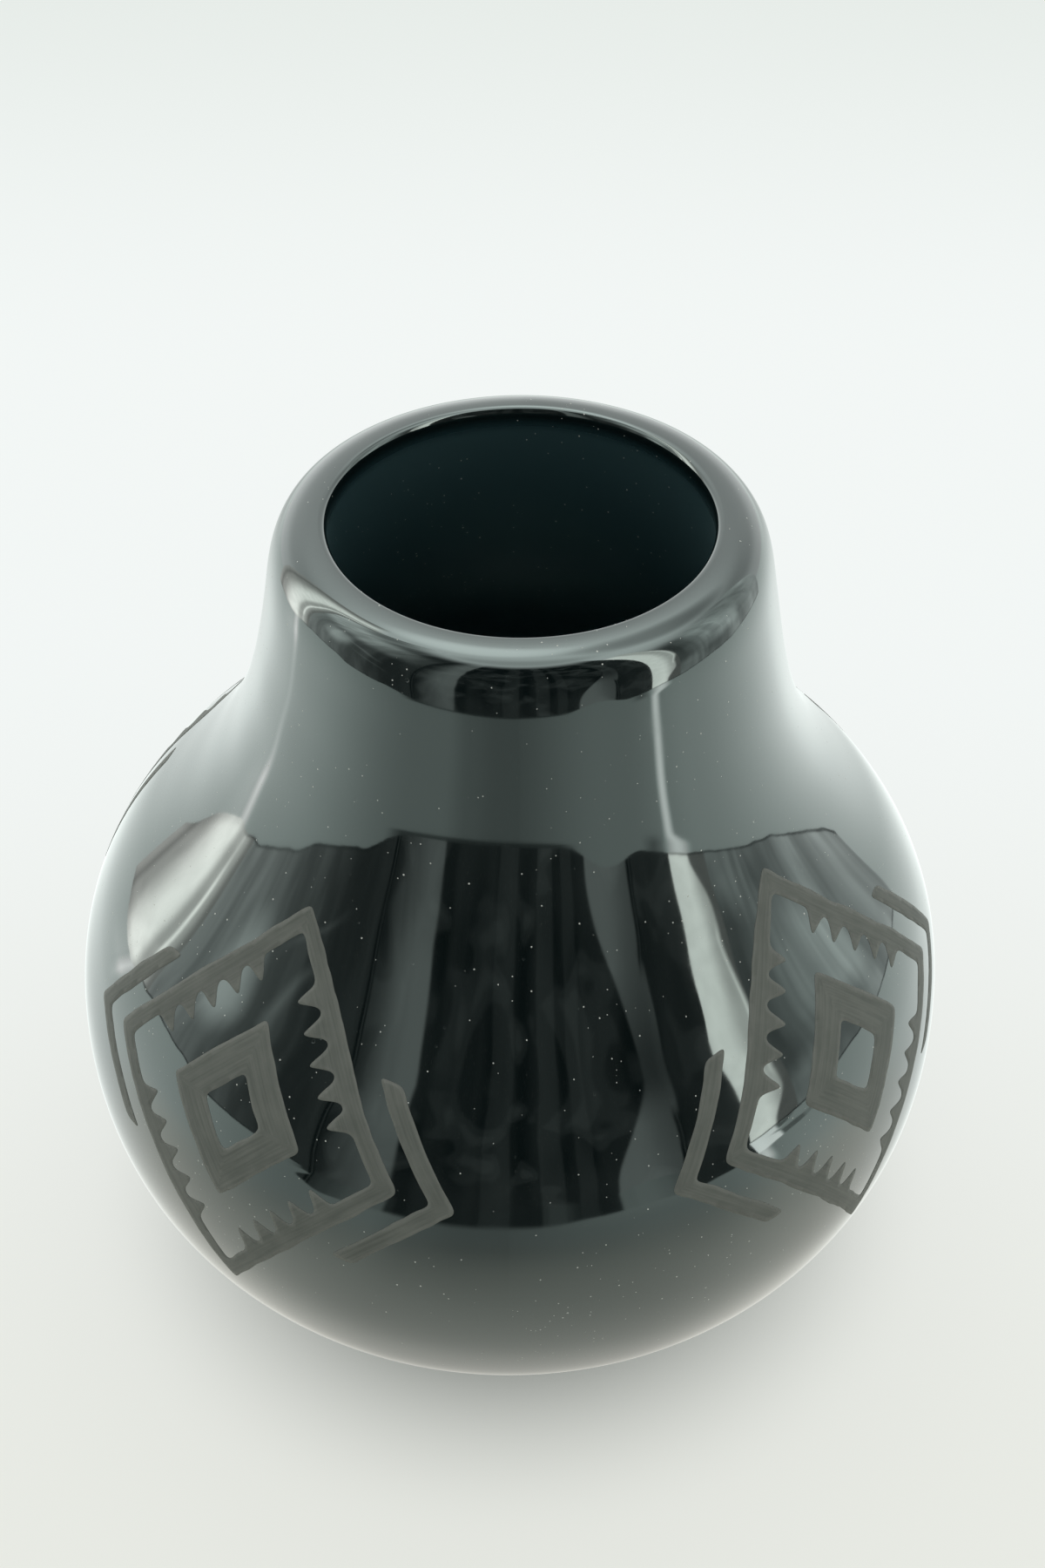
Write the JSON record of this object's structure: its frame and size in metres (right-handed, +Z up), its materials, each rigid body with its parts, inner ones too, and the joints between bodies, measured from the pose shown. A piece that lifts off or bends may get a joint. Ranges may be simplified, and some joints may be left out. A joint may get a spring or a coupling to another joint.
{
  "type": "jar",
  "caption": "Burnished black pottery jar with a round belly, short neck and thick rolled lip, with matt slip lozenge figures round its shoulder.",
  "frame": {"origin": "centre of the flat base, on the surface that the jar stands on", "axes": "+Z up the belly's axis, -Y towards the front, +X to the right seen from the front"},
  "size_m": [0.14, 0.14, 0.1423],
  "materials": {
    "burnished_clay": "stone-burnished smoke-fired black clay, mirror-like gloss, unglazed",
    "matt_slip": "thin unburnished slip, matt charcoal with brush streaks"
  },
  "bodies": {
    "root": {"jar_body": "burnished_clay", "slip_frame_front_left": "matt_slip", "slip_core_front_left": "matt_slip", "slip_left_chevron_front_left": "matt_slip", "slip_right_chevron_front_left": "matt_slip", "slip_frame_front_right": "matt_slip", "slip_core_front_right": "matt_slip", "slip_left_chevron_front_right": "matt_slip", "slip_right_chevron_front_right": "matt_slip", "slip_frame_back_right": "matt_slip", "slip_core_back_right": "matt_slip", "slip_left_chevron_back_right": "matt_slip", "slip_right_chevron_back_right": "matt_slip", "slip_frame_back_left": "matt_slip", "slip_core_back_left": "matt_slip", "slip_left_chevron_back_left": "matt_slip", "slip_right_chevron_back_left": "matt_slip"}
  },
  "joints": []
}
